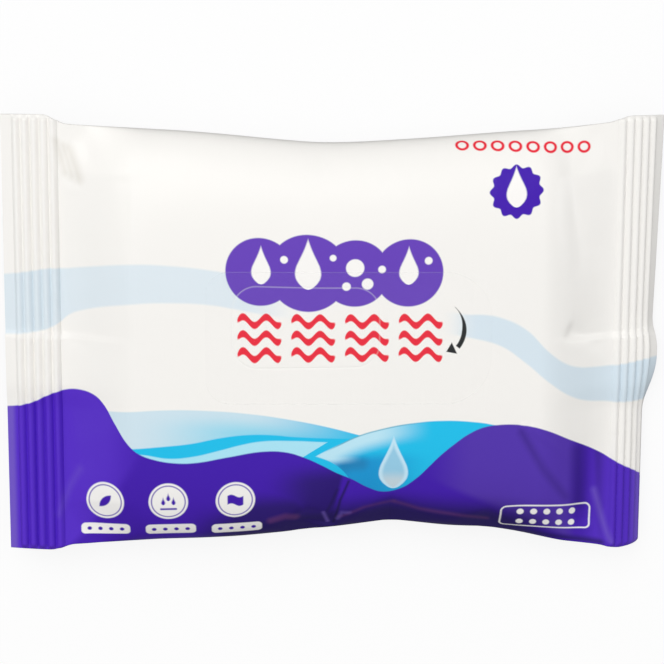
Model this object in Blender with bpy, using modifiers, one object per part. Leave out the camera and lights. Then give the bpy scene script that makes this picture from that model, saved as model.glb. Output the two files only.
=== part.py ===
"""A sealed flow-wrap pack of wet wipes, lying on its back.

One web of film is folded into a tube along X. Its long edges are sealed into a fin that lies
folded against the back, and each end of the tube is pressed flat into a ribbed seal. A clear
label covers the flap that is cut in the front. X runs along the pack, Y across it, Z up.
"""

from math import cos, exp, hypot, pi, radians, sin

import bmesh
import bpy

# Overall sizes, in metres
PACK_LENGTH = 0.141
TUBE_WIDTH = 0.0942
PACK_HEIGHT = 0.018

# Outline between the seals: the filled tube draws in to a waist on each side
FAR_SHOULDER_WIDTHS = (0.0908, 0.0925)
NEAR_SHOULDER_WIDTHS = (0.0922, 0.0932)
STEP_IN_BODY = 0.0020
STEP_IN_SEAL = 0.0035
WAIST_WIDTH = 0.0826
FAR_WAIST_X = -0.003
NEAR_WAIST_X = 0.013
WAIST_SOFTNESS = 0.04
RIGHT_FLARE = 1.35

# Soft dents along each side: place along X, how far the outline draws in, and their spread
FAR_DENTS = ((-0.030, -0.0004, 0.016), (0.047, 0.0003, 0.010))
NEAR_DENTS = (
    (-0.022, -0.0008, 0.018),
    (0.0115, 0.0005, 0.008),
    (0.036, 0.0005, 0.008),
    (0.050, -0.0003, 0.005),
)

# Filled middle, which holds the folded wipes
SIDE_HEIGHT = 0.0078
SIDE_ROUND = 0.007
CROWN_FALL = 0.0014
END_SLOPE = 0.0165
SLOPE_SOFTNESS = 0.5
SLOPE_LEVELLING = 0.55
DOME_FLATNESS = 4.2
DOME_FULLNESS = 1.9

# Ribbed end seals
SEAL_WIDTH = 0.0124
SEAL_HEIGHT = 0.009
SEAL_THICKNESS = 0.0005
CUT_MARGIN = 0.0020
RIB_COUNT = 5
RIB_HEIGHT = 0.0006
TABLE_CLEARANCE = 0.0002

# Tilt of the seals in degrees, at the body and at the cut edge
LEFT_ROOT_TILT = 4
LEFT_TIP_TILT = 16
RIGHT_ROOT_TILT = 15
RIGHT_FAR_TIP_TILT = 42
RIGHT_MIDDLE_TIP_TILT = 58
RIGHT_NEAR_TIP_TILT = 75
FIN_TIP_TILT = 44
TILT_BLEND = 0.007
NEAR_TILT_BLEND = 0.013

# Fin seal, folded flat against the back
FIN_WIDTH = 0.010
FIN_THICKNESS = 0.0004
FIN_GAP = 0.0003
FIN_EASE = 0.0012
FIN_SHOULDER = 0.006

# Flat webs where the film leaves the corners of the seals
WEB_LENGTH = 0.0045
WEB_START = 0.78

# Flat facets pressed into the near side: place along X and how far in from the outline
FACETS = ((0.0122, 0.0088), (0.0330, 0.0066), (-0.0060, 0.0090))
FACET_SPREAD = 0.26
FACET_SOFTNESS = 0.0005

# Folds in the front film. A ridge has a depth below zero.
CREASE_SHARPNESS = 1.5
CORNER_FOLD_LENGTH = 0.0055
CORNER_FOLD_SPREAD = 0.015
CORNER_RIDGE_WIDTH = 0.0014
CORNER_RIDGE_DEPTH = -0.0005
CORNER_HOLLOW_X = 0.0035
CORNER_HOLLOW_WIDTH = 0.0026
CORNER_HOLLOW_DEPTH = 0.0012
KINK_LENGTH = 0.007
KINK_WIDTH = 0.0020
KINK_DEPTH = 0.0008
BUCKLE_X = -0.0006
BUCKLE_LEAN = 0.0034
BUCKLE_LENGTH = 0.0155
BUCKLE_LEFT_WIDTH = 0.0040
BUCKLE_WIDTH = 0.0012
BUCKLE_DEPTH = 0.0024
FIN_PULL_LENGTH = 0.012
FIN_PULL_LEAN = 0.004
FIN_PULL_WIDTH = 0.0022
FIN_PULL_DEPTH = 0.0009
END_HOLLOW_X = 0.0050
END_HOLLOW_START = -0.019
END_HOLLOW_END = -0.040
END_HOLLOW_WIDTH = 0.0026
END_HOLLOW_DEPTH = 0.0013
FOLD_FADE = 6

# Clear label over the flap
LABEL_LENGTH = 0.060
LABEL_WIDTH = 0.0280
LABEL_X = 0.0028
LABEL_Y = 0.0010
LABEL_RADIUS = 0.0050
LABEL_TAB_RADIUS = 0.0100
LABEL_THICKNESS = 0.00015
LABEL_GAP = 0.0003

# How finely the film is divided
FRONT_STEPS = 56
SIDE_STEPS = 4
BACK_STEPS = 10
FIN_STEPS = 4
BODY_STEPS = 54
REACH_STEPS = 40
EDGE_BUNCHING = 1.5
FIN_BUNCHING = 1.4
END_BUNCHING = 0.4
LABEL_STEPS = (28, 10)

FILM_WHITE = (0.90, 0.89, 0.88, 1.0)
BASE_PURPLE = (0.075, 0.030, 0.38, 1.0)
LABEL_CLEAR = (0.93, 0.94, 0.95, 1.0)

# The purple base of the print ends in a wave, given by its height across the pack
WAVE_MIDDLE = -0.0245
WAVE_SWING = 0.0055
WAVE_LENGTH = 0.088
WAVE_START = 0.044

RISE_OVER_FIN = FIN_THICKNESS + FIN_GAP


def clamp(value, low=0.0, high=1.0):
    return max(low, min(high, value))


def ease(value):
    """A smooth step from 0 to 1."""
    value = clamp(value)
    return value * value * (3 - 2 * value)


def mix(first, second, share):
    return first + (second - first) * share


def tilts(end, y):
    """Tilt of the seal at the body and at its cut edge, in radians. The fin stiffens the seal."""
    if end < 0:
        root, tip = LEFT_ROOT_TILT, LEFT_TIP_TILT
    else:
        root = RIGHT_ROOT_TILT
        far = mix(RIGHT_MIDDLE_TIP_TILT, RIGHT_FAR_TIP_TILT, clamp(2 * y / TUBE_WIDTH))
        beyond_fin = ease((-FIN_WIDTH / 2 - y) / NEAR_TILT_BLEND)
        over_fin = ease((TILT_BLEND / 2 - y) / TILT_BLEND)
        tip = mix(mix(far, FIN_TIP_TILT, over_fin), RIGHT_NEAR_TIP_TILT, beyond_fin)
    return radians(root), radians(tip)


def reach(end, y, along):
    """How far the curled seal reaches outwards and drops, this far along it from the body."""
    root, tip = tilts(end, y)
    bend = (tip - root) / SEAL_WIDTH
    out = (sin(root + bend * along) - sin(root)) / bend
    drop = (cos(root) - cos(root + bend * along)) / bend
    full_drop = (cos(root) - cos(tip)) / bend
    most = SEAL_HEIGHT - SEAL_THICKNESS - TABLE_CLEARANCE
    return out, drop * min(1.0, most / full_drop)


def seal_root(end):
    """X of the line where a seal meets the body: its flattest stretch ends at the pack's end."""
    places = [TUBE_WIDTH * (step / REACH_STEPS - 0.5) for step in range(REACH_STEPS + 1)]
    widest = max(reach(end, y, SEAL_WIDTH)[0] for y in places)
    return end * (PACK_LENGTH / 2 - widest)


LEFT_ROOT = seal_root(-1)
RIGHT_ROOT = seal_root(1)


def rib(along):
    """Height of the pressed ribs, which stop at the plain margin by the cut edge."""
    pitch = (SEAL_WIDTH - CUT_MARGIN) / RIB_COUNT
    if along > SEAL_WIDTH - CUT_MARGIN:
        return 0.0
    return RIB_HEIGHT * (0.5 - 0.5 * cos(2 * pi * along / pitch))


def end_run(x, across=0.0):
    """0 over the wipes, rising to 1 where the film reaches a seal, sooner beside the corners."""
    to_seal = x - LEFT_ROOT if x < 0 else RIGHT_ROOT - x
    web = WEB_LENGTH * clamp((abs(across) - WEB_START) / (1 - WEB_START))
    return clamp(1 - (to_seal - web) / END_SLOPE)


def widening(inner, to_seal):
    """The step from the body's half width to the flat tube's. Inside a seal, to_seal is below 0."""
    share = (STEP_IN_BODY - to_seal) / (STEP_IN_BODY + STEP_IN_SEAL)
    return mix(inner, TUBE_WIDTH / 2, ease(share))


def body_half_width(x, side):
    waist_x = FAR_WAIST_X if side > 0 else NEAR_WAIST_X
    shoulders = FAR_SHOULDER_WIDTHS if side > 0 else NEAR_SHOULDER_WIDTHS
    if x < waist_x:
        shoulder = shoulders[0]
        away = (waist_x - x) / (waist_x - LEFT_ROOT)
    else:
        shoulder = shoulders[1]
        away = ((x - waist_x) / (RIGHT_ROOT - waist_x)) ** RIGHT_FLARE
    away = hypot(away, WAIST_SOFTNESS) - WAIST_SOFTNESS
    width = mix(WAIST_WIDTH, shoulder, away) / 2
    for place, inset, spread in FAR_DENTS if side > 0 else NEAR_DENTS:
        width -= inset * exp(-(((x - place) / spread) ** 2))
    return width


def half_width(x, side):
    return widening(body_half_width(x, side), min(x - LEFT_ROOT, RIGHT_ROOT - x))


def seal_spread(end, side, along):
    """How much wider a seal is this far along it than where it meets the body."""
    body = body_half_width(LEFT_ROOT if end < 0 else RIGHT_ROOT, side)
    return widening(body, -along) / widening(body, 0.0)


def fold(x, y, start, end, width, depth, left_width=None):
    """A groove along a line, deepest at its start and gone at its end."""
    run_x, run_y = end[0] - start[0], end[1] - start[1]
    length = hypot(run_x, run_y)
    along = ((x - start[0]) * run_x + (y - start[1]) * run_y) / length**2
    across = ((x - start[0]) * run_y - (y - start[1]) * run_x) / length
    fade = ease(1 - along) * ease(1 + along * length / width)
    spread = left_width if left_width and across < 0 else width
    return -depth * fade * exp(-((abs(across) / spread) ** CREASE_SHARPNESS))


def folds(x, y):
    """How far the film's folds lower its front."""
    depth = 0.0
    for root, inward in ((LEFT_ROOT, 1), (RIGHT_ROOT, -1)):
        for side in (-1, 1):
            edge = side * TUBE_WIDTH / 2
            top = edge - side * CORNER_FOLD_SPREAD
            into = (root + inward * CORNER_FOLD_LENGTH, top)
            depth += fold(x, y, (root, edge), into, CORNER_RIDGE_WIDTH, CORNER_RIDGE_DEPTH)
            beside = (root + inward * CORNER_HOLLOW_X, edge)
            into = (beside[0] + inward * CORNER_FOLD_LENGTH, top)
            depth += fold(x, y, beside, into, CORNER_HOLLOW_WIDTH, CORNER_HOLLOW_DEPTH)
        pull = (root + inward * FIN_PULL_LENGTH, -FIN_PULL_LEAN)
        depth += fold(x, y, (root, 0), pull, FIN_PULL_WIDTH, FIN_PULL_DEPTH)
    near_edge = -half_width(NEAR_WAIST_X, -1)
    buckle_foot = (BUCKLE_X, near_edge)
    buckle_top = (BUCKLE_X + BUCKLE_LEAN, near_edge + BUCKLE_LENGTH)
    depth += fold(
        x, y, buckle_foot, buckle_top, BUCKLE_WIDTH, BUCKLE_DEPTH, BUCKLE_LEFT_WIDTH
    )
    hollow_x = RIGHT_ROOT - END_HOLLOW_X
    hollow = ((hollow_x, END_HOLLOW_END), (hollow_x, END_HOLLOW_START))
    depth += fold(x, y, *hollow, END_HOLLOW_WIDTH, END_HOLLOW_DEPTH)
    far_edge = half_width(FAR_WAIST_X, 1)
    kink_end = (FAR_WAIST_X, far_edge - KINK_LENGTH)
    return depth + fold(
        x, y, (FAR_WAIST_X, far_edge), kink_end, KINK_WIDTH, KINK_DEPTH
    )


def slope(run):
    """The film leaves the wipes in a soft bend and levels out a little towards the seal."""
    bent = (1 + SLOPE_SOFTNESS) * run * run / (run + SLOPE_SOFTNESS)
    return mix(bent, ease(run), SLOPE_LEVELLING)


def over_fin(y):
    """1 over the folded fin, with a sharp step at its root and a long ease at its free edge."""
    if y > 0:
        return 0.0
    return ease((y + FIN_WIDTH + FIN_SHOULDER) / FIN_SHOULDER)


def dome(across):
    """Height of the filled section, as a share, this share of the way from the middle to a side."""
    return (1 - abs(across) ** DOME_FLATNESS) ** (1 / DOME_FULLNESS)


def facet(x, y, width, place, reach_in):
    """Height of a flat facet that cuts the rounding of the near side."""
    steepness = (PACK_HEIGHT - SIDE_HEIGHT) * dome(1 - reach_in / width) / reach_in
    return SIDE_HEIGHT + steepness * (width + y) + FACET_SPREAD * abs(x - place)


def side_height(x, side):
    return mix(SIDE_HEIGHT, SEAL_HEIGHT, slope(end_run(x, side)))


def front_height(x, y, width):
    across = clamp(y / width, -1, 1)
    side = side_height(x, 1 if y > 0 else -1)
    if abs(across) == 1:
        return side
    crown = PACK_HEIGHT - CROWN_FALL * (2 * x / (RIGHT_ROOT - LEFT_ROOT)) ** 2
    height = mix(side, crown, dome(across))
    if y < 0:
        for place, reach_in in FACETS:
            cut = facet(x, y, width, place, reach_in)
            height = (height + cut - hypot(height - cut, FACET_SOFTNESS)) / 2
    run = slope(end_run(x, across))
    sealed = SEAL_HEIGHT + SEAL_THICKNESS / 2 + RISE_OVER_FIN * over_fin(y)
    fade = dome(across) * (1 - end_run(x, across) ** FOLD_FADE)
    return mix(height, sealed, run) + folds(x, y) * fade


def section(x):
    """Points of the tube's closed section, from the near side over the front and back under it."""
    run = slope(end_run(x))
    base = mix(0.0, SEAL_HEIGHT - SEAL_THICKNESS / 2, run)
    points = []
    for step in range(FRONT_STEPS + 1):
        across = 2 * step / FRONT_STEPS - 1
        width = half_width(x, across)
        y = width * (1 - (1 - abs(across)) ** EDGE_BUNCHING) * (1 if across > 0 else -1)
        points.append((y, front_height(x, y, width)))
    far, near = half_width(x, 1), half_width(x, -1)
    curve = mix(SIDE_ROUND, SEAL_THICKNESS, run)

    def under(side, width, step):
        turn = pi / 2 * step / SIDE_STEPS
        height = mix(side_height(x, side), base, sin(turn))
        return side * (width - curve + curve * cos(turn)), height

    for step in range(1, SIDE_STEPS + 1):
        points.append(under(1, far, step))
    for step in range(1, BACK_STEPS + 1):
        share = 1 - (1 - step / BACK_STEPS) ** FIN_BUNCHING
        points.append((mix(far - curve, FIN_THICKNESS, share), base))
    for step in range(1, FIN_STEPS + 1):
        points.append((mix(FIN_THICKNESS, -FIN_WIDTH, step / FIN_STEPS), base))
    for step in range(FIN_STEPS + 1):
        points.append((mix(-FIN_WIDTH, 0.0, step / FIN_STEPS), base + FIN_THICKNESS))
    for step in range(FIN_STEPS + 1):
        points.append((mix(0.0, -FIN_WIDTH, step / FIN_STEPS), base + RISE_OVER_FIN))
    for step in range(BACK_STEPS - 2):
        share = (step / (BACK_STEPS - 2)) ** FIN_BUNCHING
        points.append((mix(-FIN_WIDTH - FIN_EASE, curve - near, share), base))
    for step in range(SIDE_STEPS, 0, -1):
        points.append(under(-1, near, step))
    return points


def stations():
    """Places along the film: distance into the left seal, X in the body, distance into the right."""
    ribbed = SEAL_WIDTH - CUT_MARGIN
    seal = [ribbed * step / (2 * RIB_COUNT) for step in range(1, 2 * RIB_COUNT + 1)]
    seal.append(SEAL_WIDTH)
    places = [(-1, along) for along in reversed(seal)]
    for step in range(BODY_STEPS + 1):
        share = 2 * step / BODY_STEPS - 1
        bunched = mix(share, sin(pi / 2 * share), END_BUNCHING)
        places.append((0, mix(LEFT_ROOT, RIGHT_ROOT, (bunched + 1) / 2)))
    return places + [(1, along) for along in seal]


def film_rows():
    rows = []
    for end, place in stations():
        if end == 0:
            rows.append([(place, y, z) for y, z in section(place)])
            continue
        root = LEFT_ROOT if end < 0 else RIGHT_ROOT
        row = []
        for y, z in section(root):
            out, drop = reach(end, y, place)
            across = y * seal_spread(end, y, place)
            row.append((root + end * out, across, z - drop + rib(place)))
        rows.append(row)
    return rows


def new_object(name, mesh, collection, material):
    for face in mesh.polygons:
        face.use_smooth = True
    mesh.set_sharp_from_angle(angle=radians(35))
    mesh.materials.append(material)
    made = bpy.data.objects.new(name, mesh)
    collection.objects.link(made)
    return made


def make_film(collection, material):
    """The wrapped film: a grid bent into the tube, its seam joined and its two ends closed."""
    rows = film_rows()
    around = len(rows[0])
    film = bmesh.new()
    bmesh.ops.create_grid(film, x_segments=len(rows) - 1, y_segments=around, size=1)
    for vertex in film.verts:
        row = round((vertex.co.x + 1) / 2 * (len(rows) - 1))
        place = round((vertex.co.y + 1) / 2 * around) % around
        vertex.co = rows[row][place]
    bmesh.ops.remove_doubles(film, verts=film.verts, dist=1e-7)
    rims = [edge for edge in film.edges if edge.is_boundary]
    bmesh.ops.holes_fill(film, edges=rims, sides=0)
    bmesh.ops.recalc_face_normals(film, faces=film.faces)
    mesh = bpy.data.meshes.new("film_pack")
    film.to_mesh(mesh)
    film.free()
    return new_object("film_pack", mesh, collection, material)


def label_half_width(along):
    """Half the label's width, this far from its middle: a rounded strip with a rounder tab end."""
    radius = LABEL_TAB_RADIUS if along > 0 else LABEL_RADIUS
    into = clamp((abs(along) - LABEL_LENGTH / 2 + radius) / radius)
    return LABEL_WIDTH / 2 - radius + radius * (1 - into * into) ** 0.5


def make_label(collection, material, film):
    label = bmesh.new()
    long_steps, cross_steps = LABEL_STEPS
    bmesh.ops.create_grid(label, x_segments=long_steps, y_segments=cross_steps, size=1)
    for vertex in label.verts:
        along = LABEL_LENGTH / 2 * sin(pi / 2 * vertex.co.x)
        across = label_half_width(along) * vertex.co.y
        vertex.co = (LABEL_X + along, LABEL_Y + across, PACK_HEIGHT * 2)
    mesh = bpy.data.meshes.new("reseal_label")
    label.to_mesh(mesh)
    label.free()
    made = new_object("reseal_label", mesh, collection, material)
    drape = made.modifiers.new("drape over the film", "SHRINKWRAP")
    drape.target = film
    drape.wrap_method = "PROJECT"
    drape.wrap_mode = "ABOVE_SURFACE"
    drape.use_project_z = True
    drape.use_negative_direction = True
    drape.use_positive_direction = False
    drape.offset = LABEL_GAP
    wall = made.modifiers.new("thickness", "SOLIDIFY")
    wall.thickness = LABEL_THICKNESS
    wall.offset = 1
    return made


def plain_material(name, colour, roughness, alpha=1.0):
    material = bpy.data.materials.new(name)
    material.use_nodes = True
    surface = material.node_tree.nodes["Principled BSDF"]
    surface.inputs["Base Color"].default_value = colour
    surface.inputs["Roughness"].default_value = roughness
    surface.inputs["Metallic"].default_value = 0.0
    surface.inputs["Alpha"].default_value = alpha
    return material


def printed_film():
    """White film with the purple base of its print, which ends in a wave."""
    material = plain_material("printed film", FILM_WHITE, 0.32)
    nodes, links = material.node_tree.nodes, material.node_tree.links

    def maths(operation, first, second):
        node = nodes.new("ShaderNodeMath")
        node.operation = operation
        for socket, value in zip(node.inputs, (first, second)):
            if isinstance(value, (int, float)):
                socket.default_value = value
            else:
                links.new(value, socket)
        return node.outputs["Value"]

    place = nodes.new("ShaderNodeTexCoord")
    axes = nodes.new("ShaderNodeSeparateXYZ")
    links.new(place.outputs["Object"], axes.inputs["Vector"])
    shifted = maths("ADD", axes.outputs["X"], WAVE_START)
    turns = maths("MULTIPLY", shifted, 2 * pi / WAVE_LENGTH)
    swing = maths("MULTIPLY", maths("SINE", turns, 0.0), WAVE_SWING)
    edge = maths("ADD", swing, WAVE_MIDDLE)
    below = maths("LESS_THAN", axes.outputs["Y"], edge)
    colour = nodes.new("ShaderNodeMix")
    colour.data_type = "RGBA"
    links.new(below, colour.inputs["Factor"])
    colour.inputs["A"].default_value = FILM_WHITE
    colour.inputs["B"].default_value = BASE_PURPLE
    links.new(
        colour.outputs["Result"], nodes["Principled BSDF"].inputs["Base Color"]
    )
    return material


def main():
    for old in list(bpy.data.objects):
        bpy.data.objects.remove(old, do_unlink=True)
    collection = bpy.data.collections.new("wet_wipes_pack")
    bpy.context.scene.collection.children.link(collection)
    film = make_film(collection, printed_film())
    make_label(collection, plain_material("clear label", LABEL_CLEAR, 0.15, 0.3), film)


main()
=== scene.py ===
import math

import bmesh
import bpy
import numpy as np
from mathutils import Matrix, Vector
from mathutils.bvhtree import BVHTree
from mathutils.geometry import delaunay_2d_cdt


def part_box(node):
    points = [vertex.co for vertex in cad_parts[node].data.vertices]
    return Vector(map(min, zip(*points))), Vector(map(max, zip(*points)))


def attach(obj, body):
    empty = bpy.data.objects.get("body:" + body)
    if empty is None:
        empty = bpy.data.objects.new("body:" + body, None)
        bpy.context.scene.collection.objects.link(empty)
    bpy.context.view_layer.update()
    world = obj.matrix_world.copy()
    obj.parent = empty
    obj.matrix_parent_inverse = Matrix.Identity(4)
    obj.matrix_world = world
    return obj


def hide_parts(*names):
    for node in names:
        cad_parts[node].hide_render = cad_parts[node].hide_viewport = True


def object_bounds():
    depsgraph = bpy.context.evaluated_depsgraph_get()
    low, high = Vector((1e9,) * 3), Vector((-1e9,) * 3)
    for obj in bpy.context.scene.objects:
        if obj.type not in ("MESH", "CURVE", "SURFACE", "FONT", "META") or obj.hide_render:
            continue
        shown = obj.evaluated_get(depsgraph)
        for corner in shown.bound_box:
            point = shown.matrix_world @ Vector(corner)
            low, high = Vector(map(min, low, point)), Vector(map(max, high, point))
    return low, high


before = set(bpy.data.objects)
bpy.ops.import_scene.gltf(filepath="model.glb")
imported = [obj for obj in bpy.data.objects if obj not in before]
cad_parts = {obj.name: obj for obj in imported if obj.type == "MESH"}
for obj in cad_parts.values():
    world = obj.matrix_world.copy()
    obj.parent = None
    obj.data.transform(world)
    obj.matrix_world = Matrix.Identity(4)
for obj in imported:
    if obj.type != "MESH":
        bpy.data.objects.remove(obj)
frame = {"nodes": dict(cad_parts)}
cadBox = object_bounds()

mm = 0.001  # sizes below are in millimetres unless they say otherwise
print("frame loaded:", ", ".join(frame["nodes"]))


# small helpers

def clampTo(value, low=0.0, high=1.0):
    return np.minimum(np.maximum(value, low), high)


def easeStep(value):
    value = clampTo(value)
    return value * value * (3 - 2 * value)


def blendTo(first, second, share):
    return first + (second - first) * share


def feed(tree, socket, value):  # links another node's socket, or sets a plain value
    if isinstance(value, bpy.types.NodeSocket):
        tree.links.new(value, socket)
    else:
        socket.default_value = value


def addNode(tree, kind, inputs=None, **settings):
    node = tree.nodes.new(kind)
    for name, value in settings.items():
        setattr(node, name, value)
    for name, value in (inputs or {}).items():
        feed(tree, node.inputs[name], value)
    return node


def mathNode(tree, operation, *values):
    inputs = dict(enumerate(values))
    return addNode(tree, "ShaderNodeMath", inputs, operation=operation).outputs[0]


def vectorNode(tree, operation, *values):
    node = addNode(tree, "ShaderNodeVectorMath", operation=operation)
    for socket, value in zip([s for s in node.inputs if s.enabled], values):
        feed(tree, socket, value)
    return node.outputs["Value" if operation in ("LENGTH", "DOT_PRODUCT", "DISTANCE") else "Vector"]


def scaledNode(tree, vector, factor):
    inputs = {0: vector, "Scale": factor}
    return addNode(tree, "ShaderNodeVectorMath", inputs, operation="SCALE").outputs[0]


def splitNode(tree, vector):  # the x and the y of a place
    return addNode(tree, "ShaderNodeSeparateXYZ", {0: vector}).outputs[:2]


def joinNode(tree, x, y):
    return addNode(tree, "ShaderNodeCombineXYZ", {0: x, 1: y}).outputs[0]


def spanNode(tree, share, low, high):  # low where the share is 0, high where it is 1
    return mathNode(tree, "MULTIPLY_ADD", share, high - low, low)


def rampNode(tree, value, numbers, kind="SMOOTHSTEP"):
    names = ("From Min", "From Max", "To Min", "To Max")
    inputs = {"Value": value, **dict(zip(names, numbers))}
    return addNode(tree, "ShaderNodeMapRange", inputs, interpolation_type=kind).outputs[0]


def curveNode(tree, value, points):
    node = addNode(tree, "ShaderNodeFloatCurve", {"Value": value})
    line = node.mapping.curves[0]
    line.points[0].location, line.points[1].location = points[0], points[-1]
    for point in points[1:-1]:
        line.points.new(*point)
    node.mapping.update()
    return node.outputs[0]


socketKinds = {
    float: "NodeSocketFloat", tuple: "NodeSocketVector", type(None): "NodeSocketGeometry",
}


def newGroup(kind, name, inputs, outputs):  # each socket with its name and value
    tree = bpy.data.node_groups.new(name, kind)
    for way, sockets in (("INPUT", inputs), ("OUTPUT", outputs)):
        for title, value in sockets.items():
            socketKind = socketKinds[type(value)]
            socket = tree.interface.new_socket(title, in_out=way, socket_type=socketKind)
            if value is not None:
                socket.default_value = value
    taken, given = tree.nodes.new("NodeGroupInput"), tree.nodes.new("NodeGroupOutput")
    return tree, taken.outputs, given.inputs[0]


def newSurface(name, look):
    surface = bpy.data.materials.new(name)
    surface.use_nodes = True
    tree = surface.node_tree
    shader = tree.nodes["Principled BSDF"]
    for socket, value in look.items():
        feed(tree, shader.inputs[socket], value)
    return surface, tree, shader


def newObject(name, data):
    made = bpy.data.objects.new(name, data)
    bpy.context.scene.collection.objects.link(made)
    return made


# the film pack: one web of film, folded to a tube and sealed flat at both ends

film = {
    "length": (cadBox[1][0] - cadBox[0][0]) / mm,
    "tube": (cadBox[1][1] - cadBox[0][1]) / mm,
    "height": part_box("film_pack")[1][2] / mm,
    "waist": 82.6, "farShoulders": (90.8, 92.5), "nearShoulders": (92.2, 93.2),
    "stepInBody": 2.0, "stepInSeal": 3.5, "farWaistX": -3.0, "nearWaistX": 13.0,
    "waistSoftness": 0.04, "rightFlare": 1.35,
    # dents of the sides: place along, how far in, spread
    "farDents": ((-30.0, -0.4, 16.0), (47.0, 0.3, 10.0)),
    "nearDents": ((-22.0, -0.8, 18.0), (11.5, 0.5, 8.0), (36.0, 0.5, 8.0), (50.0, -0.3, 5.0)),
    "sideHeight": 7.8, "sideRound": 7.0, "crownFall": 1.4, "flatness": 4.2, "fullness": 1.9,
    "endSlope": 16.5, "slopeSoftness": 0.5, "slopeLevelling": 0.55,
    "sealWidth": 12.4, "sealHeight": 9.0, "sealThickness": 0.5, "tableClearance": 0.2,
    "leftTilts": (4, 16), "rightRootTilt": 15,
    "rightTipTilts": {"far": 42, "middle": 58, "near": 75, "fin": 44},
    "tiltBlend": 7.0, "nearTiltBlend": 13.0,
    "finWidth": 10.0, "finThickness": 0.4, "finGap": 0.3, "finEase": 1.2, "finShoulder": 6.0,
    "webLength": 4.5, "webStart": 0.78,
    # facets of the near side: place along, how far in
    "facets": ((12.2, 7.4), (33.0, 6.2), (-6.0, 7.0)), "facetSpread": 0.26, "facetSoftness": 0.5,
    "foldFade": 6, "creaseSharpness": 1.5,
    # ribs stop short of a seal's tip and of its sides, and the curled seal is pressed less
    "ribMargin": 2.4, "ribEdge": 1.2, "curledShare": 0.7,
    "slackFromSeal": 4.0, "slackFromTable": 2.0,
    "look": {"Roughness": 0.28, "Specular IOR Level": 0.17},
}
filmSteps = {"seal": 66, "body": 250, "front": 170, "side": 10, "back": 22, "fin": 5}
crowding = {"body": 0.3, "front": 1.3, "back": 1.4}  # steps closer together at the ends


def sealTilts(end, y):
    if end < 0:
        root, tip = film["leftTilts"]
        return math.radians(root), np.radians(tip + 0 * y)
    tips = film["rightTipTilts"]
    far = blendTo(tips["middle"], tips["far"], clampTo(2 * y / film["tube"]))
    beyondFin = easeStep((-film["finWidth"] / 2 - y) / film["nearTiltBlend"])
    overFin = easeStep((film["tiltBlend"] / 2 - y) / film["tiltBlend"])
    tip = blendTo(blendTo(far, tips["fin"], overFin), tips["near"], beyondFin)
    return math.radians(film["rightRootTilt"]), np.radians(tip)


def sealReach(end, y, along):  # how far the curled seal reaches out and drops
    root, tip = sealTilts(end, y)
    bend = (tip - root) / film["sealWidth"]
    out = (np.sin(root + bend * along) - np.sin(root)) / bend
    drop = (np.cos(root) - np.cos(root + bend * along)) / bend
    fullDrop = (np.cos(root) - np.cos(tip)) / bend
    most = film["sealHeight"] - film["sealThickness"] - film["tableClearance"]
    return out, drop * np.minimum(1.0, most / fullDrop), root + bend * along


def sealRoot(end):
    across = np.linspace(-film["tube"] / 2, film["tube"] / 2, 41)
    return end * (film["length"] / 2 - sealReach(end, across, film["sealWidth"])[0].max())


leftRoot, rightRoot = sealRoot(-1), sealRoot(1)


def endRun(x, across=0.0):  # 0 over the wipes, 1 at a seal, sooner beside the corners
    toSeal = np.where(x < 0, x - leftRoot, rightRoot - x)
    web = film["webLength"] * clampTo((np.abs(across) - film["webStart"]) / (1 - film["webStart"]))
    return clampTo(1 - (toSeal - web) / film["endSlope"])


def slopeShare(run):
    soft = film["slopeSoftness"]
    return blendTo((1 + soft) * run * run / (run + soft), easeStep(run), film["slopeLevelling"])


def widening(inner, toSeal):  # the step out to the flat tube; inside a seal toSeal is below 0
    share = (film["stepInBody"] - toSeal) / (film["stepInBody"] + film["stepInSeal"])
    return blendTo(inner, film["tube"] / 2, easeStep(share))


def bodyHalfWidth(x, side):
    far = np.asarray(side) > 0
    waistX = np.where(far, film["farWaistX"], film["nearWaistX"])
    left = x < waistX
    away = np.where(left, (waistX - x) / (waistX - leftRoot), (x - waistX) / (rightRoot - waistX))
    away = np.where(left, away, np.abs(away) ** film["rightFlare"])
    away = np.hypot(away, film["waistSoftness"]) - film["waistSoftness"]
    shoulders = [np.where(far, film["farShoulders"][end], film["nearShoulders"][end]) for end in (0, 1)]
    width = blendTo(film["waist"], np.where(left, *shoulders), away) / 2
    for which, dents in ((far, film["farDents"]), (~far, film["nearDents"])):
        for place, inset, spread in dents:
            width = width - which * inset * np.exp(-(((x - place) / spread) ** 2))
    return width


def halfWidth(x, side):
    return widening(bodyHalfWidth(x, side), np.minimum(x - leftRoot, rightRoot - x))


def sealSpread(end, y, along):  # how much wider a seal is this far along it than at the body
    body = bodyHalfWidth(leftRoot if end < 0 else rightRoot, y)
    return widening(body, -along) / widening(body, 0.0)


def foldLine(x, y, start, end, width, depth, leftWidth=None):  # a groove, deepest at its start
    runX, runY = end[0] - start[0], end[1] - start[1]
    length = math.hypot(runX, runY)
    along = ((x - start[0]) * runX + (y - start[1]) * runY) / length**2
    across = ((x - start[0]) * runY - (y - start[1]) * runX) / length
    fade = easeStep(1 - along) * easeStep(1 + along * length / width)
    spread = np.where(across < 0, leftWidth or width, width)
    return -depth * fade * np.exp(-((np.abs(across) / spread) ** film["creaseSharpness"]))


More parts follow.
